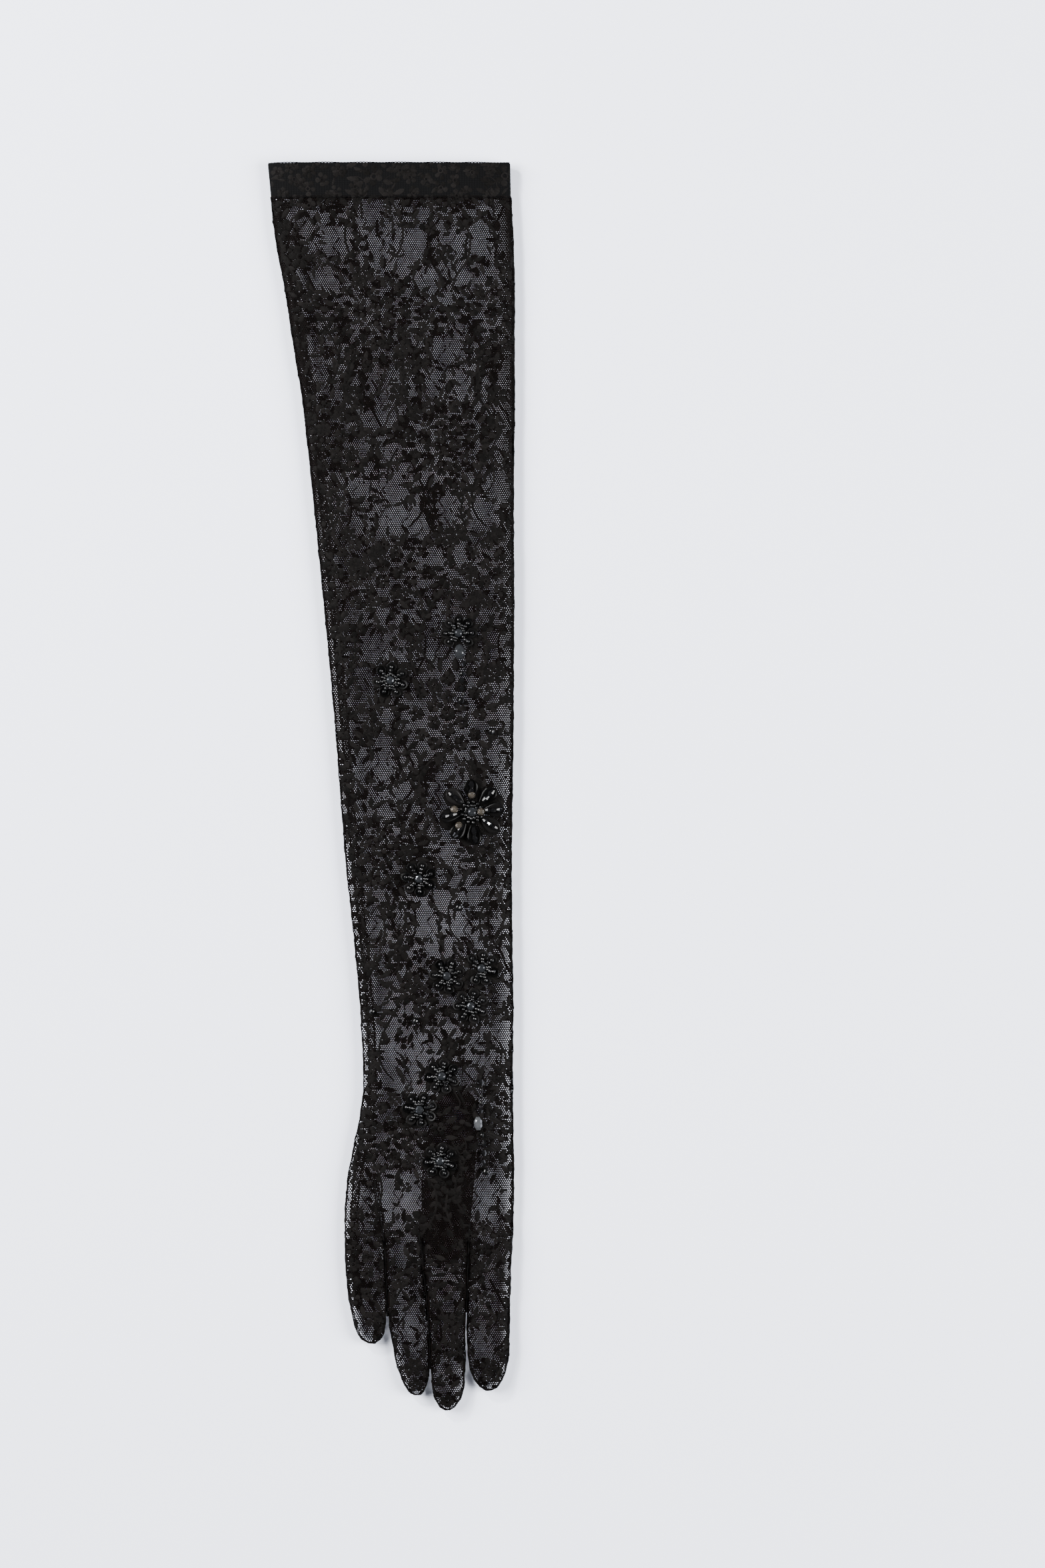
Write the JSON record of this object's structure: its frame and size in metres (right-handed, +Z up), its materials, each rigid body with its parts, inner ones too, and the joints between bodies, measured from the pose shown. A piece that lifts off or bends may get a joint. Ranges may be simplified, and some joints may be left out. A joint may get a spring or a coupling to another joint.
{
  "type": "beaded lace opera glove",
  "caption": "Long lace glove lying flat, palm down, with a hem band, finger and thumb pouches, and sequin flowers and drops of beads sewn on its back.",
  "frame": {"origin": "middle of the glove's outline, on the surface that it lies on", "axes": "+Y from the fingertips to the cuff, +Z up out of the back of the hand, +X towards the index finger's side"},
  "size_m": [0.1284, 0.6475, 0.017],
  "materials": {
    "lace": "black floral lace on a fine hexagonal net, matt, with a soft thread sheen",
    "hem_band": "doubled lace over a soft elastic, dense black, matt",
    "seam_lace": "seam allowance of black lace, two layers sewn together",
    "sequin": "grey to near-black ring sequins with black seed beads, satin to gloss",
    "jet_bead": "black and smoky faceted glass, high gloss, with a few clear crystals"
  },
  "bodies": {
    "root": {"lace_shell": "lace", "thumb": "lace", "hem_band": "hem_band", "outer_seam": "seam_lace", "large_bead_flower": "jet_bead", "arm_bead_drop": "jet_bead", "hand_bead_drop": "jet_bead", "bead_flower_1": "sequin", "bead_flower_2": "sequin", "bead_flower_3": "sequin", "bead_flower_4": "sequin", "bead_flower_5": "sequin", "bead_flower_6": "sequin", "bead_flower_7": "sequin", "bead_flower_8": "sequin", "bead_flower_9": "sequin", "lone_bead_1": "jet_bead", "lone_bead_2": "jet_bead", "lone_bead_3": "jet_bead", "lone_bead_4": "jet_bead"}
  },
  "joints": []
}
